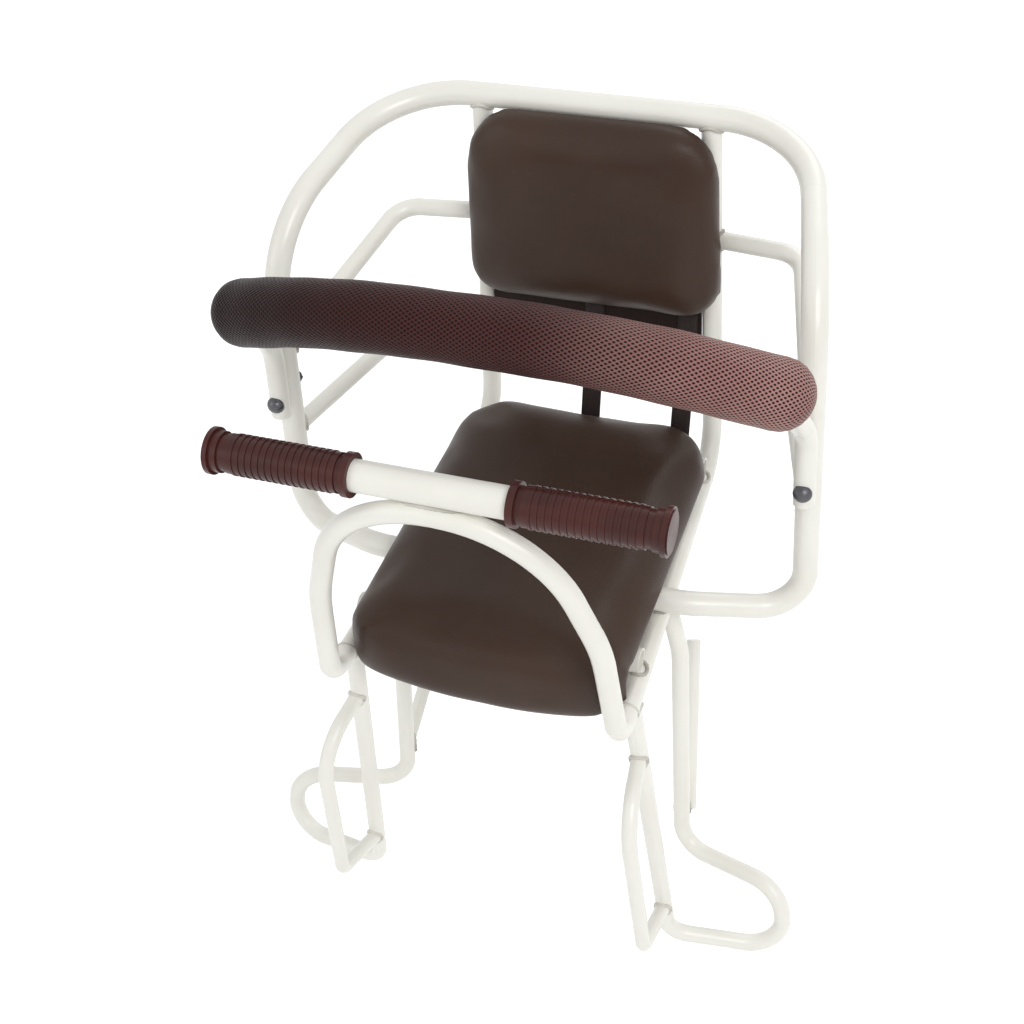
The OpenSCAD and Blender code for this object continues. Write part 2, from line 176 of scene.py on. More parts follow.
def group_of(name, inputs, outputs):
    """An empty node group with float inputs and outputs."""
    made = bpy.data.node_groups.new(name, "ShaderNodeTree")
    for label, value in inputs:
        socket = made.interface.new_socket(
            label, in_out="INPUT", socket_type="NodeSocketFloat"
        )
        socket.default_value = value
    for label in outputs:
        made.interface.new_socket(
            label, in_out="OUTPUT", socket_type="NodeSocketFloat"
        )
    return made, node(made, "NodeGroupInput"), node(made, "NodeGroupOutput")


def smooth_step(tree, value, low, high):
    """0 below low, 1 above high, and a soft change between them."""
    made = node(tree, "ShaderNodeMapRange", interpolation_type="SMOOTHSTEP")
    tree.links.new(value, made.inputs["Value"])
    for label, edge in (("From Min", low), ("From Max", high)):
        if isinstance(edge, bpy.types.NodeSocket):
            tree.links.new(edge, made.inputs[label])
        else:
            made.inputs[label].default_value = edge
    return made.outputs["Result"]


def patchy_group():
    """Soft cloudy patches from 0 to 1, for uneven paint, dirt and dye."""
    tree, given, out = group_of(
        "patchy", [("Scale", 8.0), ("Low", 0.4), ("High", 0.6)], ["Mask"]
    )
    link = tree.links.new
    where = node(tree, "ShaderNodeTexCoord")
    cloud = node(tree, "ShaderNodeTexNoise")
    cloud.inputs["Detail"].default_value = 4
    link(where.outputs["Object"], cloud.inputs["Vector"])
    link(given.outputs["Scale"], cloud.inputs["Scale"])
    mask = smooth_step(
        tree, cloud.outputs["Fac"], given.outputs["Low"], given.outputs["High"]
    )
    link(mask, out.inputs["Mask"])
    return tree


patchy = patchy_group()


def add_patches(tree, scale, low, high):
    """The mask output of a patchy group with these values."""
    made = node(tree, "ShaderNodeGroup", node_tree=patchy)
    for label, value in (("Scale", scale), ("Low", low), ("High", high)):
        made.inputs[label].default_value = value
    return made.outputs["Mask"]


def mix_colours(tree, mask, first, second):
    """A colour between two, by a mask; each is a value or a socket."""
    made = node(tree, "ShaderNodeMix", data_type="RGBA")
    tree.links.new(mask, made.inputs["Factor"])
    for socket, colour in ((made.inputs[6], first), (made.inputs[7], second)):
        if isinstance(colour, bpy.types.NodeSocket):
            tree.links.new(colour, socket)
        else:
            socket.default_value = (*colour, 1)
    return made.outputs[2]


def between(tree, mask, low, high):
    """A number from low to high, by a mask from 0 to 1."""
    made = node(tree, "ShaderNodeMapRange")
    tree.links.new(mask, made.inputs["Value"])
    made.inputs["To Min"].default_value = low
    made.inputs["To Max"].default_value = high
    return made.outputs["Result"]


def plain(shader, **values):
    """Set sockets that are the same all over, such as Sheen_Weight."""
    for label, value in values.items():
        shader.inputs[label.replace("_", " ")].default_value = value


def bump(tree, shader, height, strength, depth):
    """A bump from height, of the given depth in metres, on the shader."""
    made = node(tree, "ShaderNodeBump")
    made.inputs["Strength"].default_value = strength
    made.inputs["Distance"].default_value = depth
    tree.links.new(height, made.inputs["Height"])
    tree.links.new(made.outputs["Normal"], shader.inputs["Normal"])


def noise(tree, scale):
    """Fine noise on Object coordinates."""
    made = node(tree, "ShaderNodeTexNoise")
    made.inputs["Scale"].default_value = scale
    where = node(tree, "ShaderNodeTexCoord")
    tree.links.new(where.outputs["Object"], made.inputs["Vector"])
    return made.outputs["Fac"]


def enamel_paint(name, colour, shade, roughness):
    """Sprayed enamel: slightly uneven in colour and gloss, orange peel."""
    material = bpy.data.materials.new(name)
    tree, shader, link = nodes_of(material)
    patches = add_patches(tree, 14.0, 0.35, 0.75)
    link(mix_colours(tree, patches, colour, shade), shader.inputs["Base Color"])
    link(
        between(tree, add_patches(tree, 60.0, 0.3, 0.7), roughness, roughness + 0.12),
        shader.inputs["Roughness"],
    )
    plain(shader, Coat_Weight=0.25, Coat_Roughness=0.18)
    bump(tree, shader, noise(tree, 420.0), 0.25, 0.00025)
    return material


enamel = enamel_paint("white_enamel", (0.81, 0.8, 0.74), (0.77, 0.755, 0.69), 0.3)

steel_members = [
    name
    for name in cad
    if name.startswith(
        (
            "guard_loop",
            "front_hoop",
            "seat_rail",
            "upper_arm",
            "lower_arm",
            "front_crossbar",
            "rear_crossbar",
            "front_rack",
            "rear_rack",
            "back_bar",
            "grab_bar",
            "guard_bar_core",
            "foot_rod",
            "foot_guard",
            "rear_stay",
        )
    )
]


def coat(name, material):
    """One material all over a CAD node."""
    mesh = cad[name].data
    mesh.materials.clear()
    mesh.materials.append(material)


for name in steel_members:
    coat(name, enamel)


# ---------------------------------------------------------------- weld beads
# Each tube end and each crossing has a rippled bead of weld metal round it,
# under the same enamel; the bead's greyer, darker colour is painted shade in the joints.
bead_enamel_painted_shade = enamel_paint("weld_enamel", (0.66, 0.64, 0.58), (0.3, 0.28, 0.25), 0.42)
MM = 0.001
# radii of the tubes in mm
RAIL_R, LOOP_R, ARM_R, LEG_R, GUARD_R, GRAB_R = 8, 9.5, 7, 7, 6, 11.1
# radii of the beads, their ripples and where they run out
BEAD_R, CROSSING_BEAD_R, BAR_BEAD_R, SEAM_R = 1.7 * MM, 1.5 * MM, 1.4 * MM, 1.1 * MM
RIPPLE_LOW, RIPPLE_HIGH, RUN_OUT = 0.84, 1.08, 0.3
BEAD_STEP = 1.3


def piece_from(bm, name, material, stands_for=()):
    """A finished bmesh as a piece of the seat, riding on its frame."""
    bmesh.ops.remove_doubles(bm, verts=bm.verts, dist=1e-6)
    bmesh.ops.recalc_face_normals(bm, faces=bm.faces)
    mesh = bpy.data.meshes.new(name)
    bm.to_mesh(mesh)
    bm.free()
    for face in mesh.polygons:
        face.use_smooth = True
    made = bpy.data.objects.new(name, mesh)
    bpy.context.scene.collection.objects.link(made)
    mesh.materials.append(material)
    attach(made, "root")
    if stands_for:
        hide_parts(*stands_for)
    return made


def edges_of(ring):
    """The edges that run round a ring of vertices, in a fixed order."""
    members = set(ring)
    linked = dict.fromkeys(e for v in ring for e in v.link_edges)
    return [e for e in linked if all(o in members for o in e.verts)]


def sweep(bm, places, sizes, segments, closed=False):
    """Extrude a circle through a row of places, and give its rings.

    The X axis of a place runs along the sweep, and a size scales the circle."""
    ring = bmesh.ops.create_circle(bm, segments=segments, radius=1.0)["verts"]
    quarter = Matrix.Rotation(math.pi / 2, 3, "Y")
    bmesh.ops.rotate(bm, verts=ring, cent=(0, 0, 0), matrix=quarter)
    circle = [v.co.copy() for v in ring]
    rings = []
    for place, size in zip(places, sizes):
        if rings:
            grown = bmesh.ops.extrude_edge_only(bm, edges=edges_of(rings[-1]))["geom"]
            fresh = {v for v in grown if isinstance(v, bmesh.types.BMVert)}
            ring = [
                next(e.other_vert(v) for e in v.link_edges if e.other_vert(v) in fresh)
                for v in ring
            ]
        for v, p in zip(ring, circle):
            v.co = place @ (p * size)
        rings.append(ring)
    if closed:
        bmesh.ops.bridge_loops(bm, edges=edges_of(rings[0]) + edges_of(rings[-1]))
    return rings


def bead(bm, points, radius, closed=True):
    """A weld bead with ripples along these points."""
    places, sizes = [], []
    last = len(points) - 1
    for i, spot in enumerate(points):
        ahead = points[(i + 1) % len(points)] if closed else points[min(i + 1, last)]
        behind = points[i - 1] if closed or i else points[0]
        way = (ahead - behind).normalized()
        turned = way.to_track_quat("X", "Z").to_matrix().to_4x4()
        places.append(Matrix.Translation(spot) @ turned)
        at_end = not closed and i in (0, last)
        ripple = RIPPLE_LOW if i % 2 else RIPPLE_HIGH
        sizes.append(radius * (RUN_OUT if at_end else ripple))
    rings = sweep(bm, places, sizes, 8, closed)
    if not closed:
        for ring in (rings[0], rings[-1]):
            bmesh.ops.contextual_create(bm, geom=ring)


BEAD_LIFT = 0.4


def tube_end(bm, start, way, radius, along, wide):
    """The bead where a tube's end stands on the side of another tube.

    start lies on the other tube's axis, which runs along; way is the
    direction in which the welded tube leaves it."""
    way, along = Vector(way).normalized(), Vector(along).normalized()
    start = Vector(start) * MM
    first = way.orthogonal().normalized()
    second = way.cross(first)
    radius, wide = (radius + BEAD_LIFT) * MM, (wide + BEAD_LIFT) * MM
    count = 2 * round(math.pi * radius / (BEAD_STEP * MM))
    way_across = way - along * way.dot(along)
    slant = way_across.dot(way_across)
    points = []
    for i in range(count):
        a = 2 * math.pi * i / count
        rim = (first * math.cos(a) + second * math.sin(a)) * radius
        rim_across = rim - along * rim.dot(along)
        b = rim_across.dot(way_across)
        rest = b * b - slant * (rim_across.dot(rim_across) - wide * wide)
        points.append(start + rim + way * ((math.sqrt(max(rest, 0)) - b) / slant))
    bead(bm, points, BEAD_R)


CROSSING_POINTS = 30
CROSSING_GAP = 2.2
CROSSING_REACH = 40.0
HALVINGS = 24


def crossing(bm, place, lower, upper):
    """The bead round the spot where one tube lies on another.

    lower and upper give the heights of the two surfaces in place's frame."""
    points = []
    for i in range(CROSSING_POINTS):
        a = 2 * math.pi * i / CROSSING_POINTS
        near, far = 0.0, CROSSING_REACH
        for _ in range(HALVINGS):
            reach = (near + far) / 2
            x, y = reach * math.cos(a), reach * math.sin(a)
            if upper(x, y) - lower(x, y) < CROSSING_GAP:
                near = reach
            else:
                far = reach
        points.append(place @ (Vector((x, y, (lower(x, y) + upper(x, y)) / 2)) * MM))
    bead(bm, points, CROSSING_BEAD_R)


def half_round(radius, offset):
    """Height of a tube's surface over its axis at this offset."""
    return math.sqrt(max(radius * radius - offset * offset, 0))


def mixed(a, b, t):
    """The point a share t of the way from a to b."""
    return Vector(a) * (1 - t) + Vector(b) * t


# corner points of the tubes of one side, in mm
rail_front, rail_back = Vector((113, -162.5, 11.5)), Vector((100, 162.5, 11.5))
upright_top = Vector((91, 187.5, 314))
loop_shoulder, loop_low = Vector((204, 23.5, 275)), Vector((212, 3, 9))
leg_foot = Vector((134.5, -118.5, -287.5))
rear_leg = Vector((121.5, -25, -38.5)), Vector((129, -52, -252.5))
guard_high, guard_low = Vector((123.5, -185, -58.5)), Vector((132, -182, -216.5))
stay_end = Vector((112, 54, -108.5))
RAIL_LENGTH, UPRIGHT_H, UPRIGHT_LENGTH = 325, 302.5, 303.5
LOOP_SIDE_H, LEG_LENGTH, REAR_LEG_LENGTH = 266, 299, 214
ARM_CORNER_Y = 171.5


def rail_at(y):
    """The point of the rail's axis at this y."""
    return mixed(rail_front, rail_back, (y - rail_front.y) / RAIL_LENGTH)


rail_way, upright_way = rail_back - rail_front, upright_top - rail_back
loop_way, across = loop_low - loop_shoulder, Vector((1, 0, 0))
bm = bmesh.new()
tube_end(bm, upright_top, -upright_way, RAIL_R, across, LOOP_R)

# side arms: height over the rails, x of the corner, drop to the guard loop
for height, corner_x, drop in ((202.5, 166, 43), (96.5, 160, 10)):
    corner = Vector((corner_x, ARM_CORNER_Y, rail_back.z + height))
    fallen = loop_shoulder.z - rail_back.z - height + drop
    inner = mixed(rail_back, upright_top, height / UPRIGHT_H)
    outer = mixed(loop_shoulder, loop_low, fallen / LOOP_SIDE_H)
    tube_end(bm, inner, corner - inner, ARM_R, upright_way, RAIL_R)
    tube_end(bm, outer, corner - outer, ARM_R, loop_way, LOOP_R)

# leg, foot guard and rear stay
rod_rear, rod_front = rail_at(-13), rail_at(-125.5)
leg_way = leg_foot - rod_front
tube_end(bm, rod_rear, rear_leg[0] - rod_rear, LEG_R, rail_way, RAIL_R)
tube_end(bm, rod_front, leg_way, LEG_R, rail_way, RAIL_R)
for down, guard_corner in ((62, guard_high), (261, guard_low)):
    on_leg = mixed(rod_front, leg_foot, down / LEG_LENGTH)
    tube_end(bm, on_leg, guard_corner - on_leg, GUARD_R, leg_way, LEG_R)
stay_foot = mixed(*rear_leg, 182 / REAR_LEG_LENGTH)
rear_way = rear_leg[1] - rear_leg[0]
tube_end(bm, stay_foot, stay_end - stay_foot, GUARD_R, rear_way, LEG_R)

# what lies across the rail: front crossbar, guard loop, rear crossbar
CROSS_LIFT = 17
for y in (-100, -35, 119.5):
    crossing(
        bm,
        Matrix.Translation(rail_at(y) * MM),
        lambda x, y: half_round(RAIL_R, x),
        lambda x, y: CROSS_LIFT - half_round(LOOP_R, y),
    )

# the butt seam between rail and hoop foot
SEAM_POINTS = 36
seam = rail_at(-135.5) * MM
turned = rail_way.to_track_quat("Z", "Y").to_matrix()
round_rail = [2 * math.pi * i / SEAM_POINTS for i in range(SEAM_POINTS)]
bead(
    bm,
    [
        seam + turned @ (Vector((math.cos(a), math.sin(a), 0)) * RAIL_R * MM)
        for a in round_rail
    ],
    SEAM_R,
)

# rack straps, welded along the inner side of the rail's underside
for y in (-90, 90):
    on_rail = rail_at(y)
    steps = [step * BEAD_STEP - 12.35 for step in range(20)]
    bead(
        bm,
        [(on_rail + Vector((-5.4, step, -6.6))) * MM for step in steps],
        BEAD_R,
        closed=False,
    )

# flat bars between the uprights, welded in front and behind
for along in (165, 258):
    for behind, inward in ((-2.6, 8.1), (1.6, 8.2)):
        spots = []
        for step in range(15):
            up = along - 9.1 + BEAD_STEP * step
            middle_of = mixed(rail_back, upright_top, up / UPRIGHT_LENGTH)
            spots.append((middle_of + Vector((-inward, behind, 0))) * MM)
        bead(bm, spots, BAR_BEAD_R, closed=False)
half = bm.verts[:] + bm.edges[:] + bm.faces[:]
bmesh.ops.mirror(bm, geom=half, axis="X", merge_dist=1e-6)

# grab bar on the crown of the hoop
CROWN, CROWN_R, CROWN_TILT, GRAB_LIFT = Vector((0, -179, 218)), 92, -0.27, 18.8
crossing(
    bm,
    Matrix.Translation(CROWN * MM) @ Matrix.Rotation(CROWN_TILT, 4, "X"),
    lambda x, y: half_round(RAIL_R, y) - CROWN_R + half_round(CROWN_R, x),
    lambda x, y: GRAB_LIFT - half_round(GRAB_R, y),
)
piece_from(bm, "weld_beads", bead_enamel_painted_shade)

# ---------------------------------------------------------------- cushions
# Seat and back cushion: foam under dark brown leatherette, drawn tight over
# the edges.  The seat's front rolls down over the edge of its board.


def upside_down(tree, value, top):
    """1 where the value is 0, and 0 where it reaches top."""
    made = node(tree, "ShaderNodeMapRange")
    for label, edge in (("From Max", top), ("To Min", 1), ("To Max", 0)):
        made.inputs[label].default_value = edge
    tree.links.new(value, made.inputs["Value"])
    return made.outputs["Result"]


def grain_group():
    """Pebbled leather grain: small rounded cells with creases between."""
    tree, given, out = group_of("leather_grain", [("Scale", 700.0)], ["Height"])
    link = tree.links.new
    where = node(tree, "ShaderNodeTexCoord")
    cells = node(tree, "ShaderNodeTexVoronoi", feature="SMOOTH_F1")
    cells.inputs["Smoothness"].default_value = 0.6
    link(where.outputs["Object"], cells.inputs["Vector"])
    link(given.outputs["Scale"], cells.inputs["Scale"])
    link(upside_down(tree, cells.outputs["Distance"], 0.8), out.inputs["Height"])
    return tree


leather_grain = grain_group()

leatherette = bpy.data.materials.new("brown_leatherette")
tree, shader, link = nodes_of(leatherette)
wear = add_patches(tree, 7.0, 0.35, 0.7)
link(
    mix_colours(tree, wear, (0.038, 0.0195, 0.0125), (0.048, 0.0255, 0.0165)),
    shader.inputs["Base Color"],
)
link(
    between(tree, add_patches(tree, 25.0, 0.3, 0.7), 0.36, 0.46),
    shader.inputs["Roughness"],
)
plain(shader, Specular_IOR_Level=0.24, Sheen_Weight=0.02, Sheen_Roughness=0.5)
grain = node(tree, "ShaderNodeGroup", node_tree=leather_grain)
grain.inputs["Scale"].default_value = 900.0
bump(tree, shader, grain.outputs["Height"], 0.35, 0.0003)


VOXEL = 5 * MM
PRESSURE = 4.0
CLOTH_FRAMES = 20
CLOTH_QUALITY = 5
SMOOTHINGS = 12


def inflate(made, most, hold):
    """Remesh a cushion, swell it as filled cloth, and smooth its wrinkles.

    most limits how far a point may move; hold says which points stay put,
    because they lie on the board."""
    bpy.context.view_layer.objects.active = made
    remesh = made.modifiers.new("even", "REMESH")
    remesh.mode = "VOXEL"
    remesh.voxel_size = VOXEL
    graph = bpy.context.evaluated_depsgraph_get()
    mesh = bpy.data.meshes.new_from_object(made.evaluated_get(graph))
    made.modifiers.clear()
    made.data = mesh
    start = [v.co.copy() for v in mesh.vertices]
    group = made.vertex_groups.new(name="held")
    group.add([i for i, p in enumerate(start) if hold(p)], 1, "REPLACE")
    cloth = made.modifiers.new("fill", "CLOTH")
    cloth.settings.vertex_group_mass = "held"
    cloth.settings.use_pressure = True
    cloth.settings.uniform_pressure_force = PRESSURE
    cloth.settings.effector_weights.gravity = 0
    cloth.settings.quality = CLOTH_QUALITY
    cloth.point_cache.frame_start = 1
    cloth.point_cache.frame_end = CLOTH_FRAMES
    for frame_number in range(1, CLOTH_FRAMES + 1):
        bpy.context.scene.frame_set(frame_number)
    graph = bpy.context.evaluated_depsgraph_get()
    swollen = bpy.data.meshes.new_from_object(made.evaluated_get(graph))
    made.modifiers.clear()
    made.vertex_groups.clear()
    for vertex, was in zip(mesh.vertices, start):
        move = swollen.vertices[vertex.index].co - was
        if move.length > most:
            move *= most / move.length
        vertex.co = was + move
    bpy.context.scene.frame_set(1)
    bm = bmesh.new()
    bm.from_mesh(mesh)
    loose = [v for v in bm.verts if not hold(start[v.index])]
    for _ in range(SMOOTHINGS):
        bmesh.ops.smooth_vert(
            bm,
            verts=loose,
            factor=0.5,
            use_axis_x=True,
            use_axis_y=True,
            use_axis_z=True,
        )
    bm.to_mesh(mesh)
    bm.free()
    finer = made.modifiers.new("soft", "SUBSURF")
    finer.levels = finer.render_levels = 1
    for face in mesh.polygons:
        face.use_smooth = True


def bevel(bm, edges, width, segments):
    """Round these edges."""
    bmesh.ops.bevel(
        bm,
        geom=list(edges),
        offset=width,
        offset_type="OFFSET",
        affect="EDGES",
        segments=segments,
        profile=0.5,
        material=-1,
        clamp_overlap=True,
    )


def direction(edge):
    """Which way an edge runs, as a unit vector."""
    return (edge.verts[0].co - edge.verts[1].co).normalized()


def middle(edge):
    """The middle of an edge."""
    return (edge.verts[0].co + edge.verts[1].co) / 2


def upright_edges(bm):
    """The edges that stand upright."""
    return [e for e in bm.edges if abs(direction(e).z) > 0.9]


def sharp_edges(bm, inside):
    """The edges with a sharp turn whose two ends are both inside."""
    return [
        e
        for e in bm.edges
        if all(inside(v.co) for v in e.verts) and e.calc_face_angle(0) > 0.5
    ]


def share(value, full):
    """value as a share of full, kept from 0 to 1."""
    return max(0.0, min(1.0, value / full))


def plate(bm, width, length, low, high, corner, middle_y):
    """A flat plate with round corners, from low to high."""
    bmesh.ops.create_cube(bm, size=1)
    bmesh.ops.scale(bm, verts=bm.verts, vec=(width, length, high - low))
    bmesh.ops.translate(bm, verts=bm.verts, vec=(0, middle_y, (low + high) / 2))
    bevel(bm, upright_edges(bm), corner, 10)


def hollow_out(made, bm):
    """Cut the shape in bm out of the piece, with sharp edges there."""
    cutter_mesh = bpy.data.meshes.new("cutter")
    bm.to_mesh(cutter_mesh)
    bm.free()
    cutter = bpy.data.objects.new("cutter", cutter_mesh)
    bpy.context.scene.collection.objects.link(cutter)
    cut = made.modifiers.new("pocket", "BOOLEAN")
    cut.operation = "DIFFERENCE"
    cut.solver = "EXACT"
    cut.object = cutter
    graph = bpy.context.evaluated_depsgraph_get()
    mesh = bpy.data.meshes.new_from_object(made.evaluated_get(graph))
    made.modifiers.clear()
    mesh.set_sharp_from_angle(angle=math.radians(50))
    made.data = mesh
    bpy.data.objects.remove(cutter)


# seat cushion: a side view pushed across, its corners and rims rounded
seat_lo, seat_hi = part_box("seat_pad")
seat_lo += Vector((3, -1, -2)) * MM
seat_hi += Vector((0.5, 3, 0)) * MM
SEAT_INSET = 2.5 * MM
ROLL_DEPTH = 32 * MM
REAR_CORNER, FRONT_CORNER = 44 * MM, 34 * MM
RIM_ROUND, HEM_ROUND = 11 * MM, 8 * MM
seat_top = seat_hi.z - 2 * MM
board_lo, board_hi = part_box("seat_board")
board_top = board_hi.z
hem_z = board_lo.z + 1 * MM
roll_low = seat_lo.z + 2 * MM
roll_back = seat_lo.y + ROLL_DEPTH
bm = bmesh.new()
outline = [
    (seat_hi.y - SEAT_INSET, hem_z),
    (seat_hi.y - SEAT_INSET, seat_top),
    (seat_lo.y + SEAT_INSET, seat_top),
    (seat_lo.y + SEAT_INSET, roll_low),
    (roll_back - SEAT_INSET, roll_low),
    (roll_back - SEAT_INSET, hem_z),
]
side = [bm.verts.new((seat_lo.x + SEAT_INSET, y, z)) for y, z in outline]
face = bm.faces.new(side)
pushed = bmesh.ops.extrude_face_region(bm, geom=[face])["geom"]
bmesh.ops.translate(
    bm,
    verts=[v for v in pushed if isinstance(v, bmesh.types.BMVert)],
    vec=(seat_hi.x - seat_lo.x - 2 * SEAT_INSET, 0, 0),
)
bmesh.ops.recalc_face_normals(bm, faces=bm.faces)
bevel(bm, [e for e in upright_edges(bm) if middle(e).y > 0], REAR_CORNER, 8)
front_edges = [
    e
    for e in upright_edges(bm)
    if middle(e).y < seat_lo.y + 5 * MM and e.is_manifold
]
bevel(bm, front_edges, FRONT_CORNER, 8)
bevel(bm, sharp_edges(bm, lambda p: abs(p.z - seat_top) < 1e-5), RIM_ROUND, 6)
bevel(bm, sharp_edges(bm, lambda p: p.z < seat_lo.z + 3 * MM), HEM_ROUND, 4)
seat_cushion = piece_from(bm, "seat_cushion", leatherette, ["seat_pad"])
inflate(
    seat_cushion,
    6 * MM,
    lambda p: p.z < board_top and p.y > roll_back - 6 * MM,
)

# the front bulges and hangs a little lower in its middle, the rear is raised
for vertex in seat_cushion.data.vertices:
    spot = vertex.co
    front = share(seat_lo.y + 45 * MM - spot.y, 45 * MM)
    arch = max(0.0, 1 - (spot.x / (105 * MM)) ** 2)
    low = share(board_top - spot.z, 30 * MM)
    spot.y -= 6 * MM * front * arch
    spot.z -= 5 * MM * low * front * arch
    rear = share(spot.y - 70 * MM, 50 * MM)
    high = share(spot.z - board_top, 14 * MM)
    spot.y += 2.2 * MM * rear * high
    spot.z += 2.5 * MM * rear * high

# the pocket in its underside takes the board
BOARD_GAP = 0.3 * MM
bm = bmesh.new()
plate(
    bm,
    board_hi.x - board_lo.x + 2 * BOARD_GAP,
    board_hi.y - board_lo.y + 2 * BOARD_GAP,
    seat_lo.z - 5 * MM,
    board_top + BOARD_GAP,
    25 * MM,
    (board_lo.y + board_hi.y) / 2,
)
hollow_out(seat_cushion, bm)

# back cushion, drawn flat and then leant back with the uprights
LEAN = math.atan2(25, UPRIGHT_H)
UPRIGHT_FOOT = Vector((0, 162.5, 11.5)) * MM


def on_uprights(bm):
    """Lean what was drawn upright, and set it behind the uprights' feet."""
    bmesh.ops.rotate(
        bm, verts=bm.verts, cent=(0, 0, 0), matrix=Matrix.Rotation(-LEAN, 3, "X")
    )
    bmesh.ops.translate(bm, verts=bm.verts, vec=UPRIGHT_FOOT)


BACK_FRONT, BACK_REAR = -38.3 * MM, -8.3 * MM
BACK_LOW, BACK_HIGH = 139 * MM, 305 * MM
BACK_HALF = 106 * MM
bm = bmesh.new()
bmesh.ops.create_cube(bm, size=1)
bmesh.ops.scale(
    bm,
    verts=bm.verts,
    vec=(
        2 * BACK_HALF - 5 * MM,
        BACK_REAR - BACK_FRONT - 4 * MM,
        BACK_HIGH - BACK_LOW - 5 * MM,
    ),
)
bmesh.ops.translate(
    bm,
    verts=bm.verts,
    vec=(1.5 * MM, (BACK_FRONT + BACK_REAR) / 2 + 2 * MM, (BACK_LOW + BACK_HIGH) / 2),
)


def through_edges(bm):
    """The edges that run from the front of the cushion to its rear."""
    return [e for e in bm.edges if abs(direction(e).y) > 0.9]


bevel(bm, [e for e in through_edges(bm) if middle(e).z > 0.2], 42 * MM, 10)
low_corners = [e for e in through_edges(bm) if middle(e).z < BACK_LOW + 5 * MM]
bevel(bm, low_corners, 28 * MM, 8)
bevel(bm, sharp_edges(bm, lambda p: p.y < BACK_FRONT + 5 * MM), 13 * MM, 6)
rear_top = sharp_edges(
    bm, lambda p: p.y > BACK_REAR - 1 * MM and p.z > BACK_HIGH - 50 * MM
)
bevel(bm, rear_top, 8 * MM, 3)
for v in bm.verts:
    v.co.x *= 1.015 - 0.045 * (v.co.z - BACK_LOW) / (BACK_HIGH - BACK_LOW)
on_uprights(bm)
back_cushion = piece_from(bm, "back_cushion", leatherette, ["back_pad"])
rear_side = Vector((0, math.cos(LEAN), -math.sin(LEAN)))
inflate(
    back_cushion,
    5 * MM,
    lambda p: (p - UPRIGHT_FOOT).dot(rear_side) > BACK_REAR - 4 * MM,
)

# ---------------------------------------------------------------- boards
# Two plywood boards under the cushions, painted dark, with a fine grain; their very dark
# colour is partly their paint and partly painted shade for the shadow under the back
# cushion.
board_paint = bpy.data.materials.new("dark_board")
tree, shader, link = nodes_of(board_paint)
where = node(tree, "ShaderNodeTexCoord")
stretch = node(tree, "ShaderNodeMapping")
stretch.inputs["Scale"].default_value = (1, 1, 0.06)
grain_lines = node(tree, "ShaderNodeTexNoise")
grain_lines.inputs["Scale"].default_value = 260
grain_lines.inputs["Detail"].default_value = 5
link(where.outputs["Object"], stretch.inputs["Vector"])
link(stretch.outputs["Vector"], grain_lines.inputs["Vector"])
lines = grain_lines.outputs["Fac"]
board_paint_and_shade = mix_colours(tree, lines, (0.012, 0.007, 0.006), (0.026, 0.015, 0.012))
link(board_paint_and_shade, shader.inputs["Base Color"])
plain(shader, Roughness=0.6, Specular_IOR_Level=0.15)
bump(tree, shader, lines, 0.4, 0.0004)
for name in ("seat_board", "back_board"):
    coat(name, board_paint)

# ---------------------------------------------------------------- guard bar
# Foam sleeve on the guard bar's steel core, in a dark maroon knitted cover
# whose open mesh shows as small slanting diamonds; closed round at the ends.
FOAM_R = 24.8 * MM
ARCH_R = 280 * MM
HUMP, HUMP_HALF = 1.3 * MM, 0.19
X_WAY = Vector((1, 0, 0))
arch_side = Vector((93, -87, 297.5)) * MM
arch_end = Vector((195, -49, 254.5)) * MM
out_way = (arch_end - arch_side).normalized()
bend_angle = X_WAY.angle(out_way)
bend_use = ARCH_R * math.tan(bend_angle / 2)
bend_start = arch_side - Vector((bend_use, 0, 0))
bend_axis = X_WAY.cross(out_way).normalized()
bend_centre = bend_start + bend_axis.cross(X_WAY) * ARCH_R
bend_length = bend_angle * ARCH_R
tail_length = (arch_end - arch_side).length - bend_use
half_length = bend_start.x + bend_length + tail_length


def hump(s):
    """1 in the middle of the bar, falling to 0 towards its ends."""
    return max(0.0, 1 - (s / HUMP_HALF) ** 2)


def bar_frame(s):
    """Place and turn of the cross-section at s metres from the middle."""
    along = abs(s)
    if along <= bend_start.x:
        turn, spot = 0.0, Vector((along, bend_start.y, bend_start.z))
    else:
        turn = min(along - bend_start.x, bend_length) / ARCH_R
        swing = Matrix.Rotation(turn, 3, bend_axis)
        spot = bend_centre + swing @ (bend_start - bend_centre)
        spot += swing @ Vector((max(0.0, along - bend_start.x - bend_length), 0, 0))
    turned = Matrix.Rotation(turn, 4, bend_axis) if turn else Matrix.Identity(4)
    made = Matrix.Translation(spot + Vector((0, 0, HUMP * hump(s)))) @ turned
    if s < 0:
        flip = Matrix.Diagonal((-1, 1, 1, 1))
        made = flip @ made @ flip
    return made


def girth(s):
    """How the foam's girth wanders along the bar, slimmer in the middle."""
    slim = 0.045 * hump(s)
    return 1 - slim + 0.008 * math.sin(s * 61) + 0.006 * math.sin(s * 143 + 1.2)


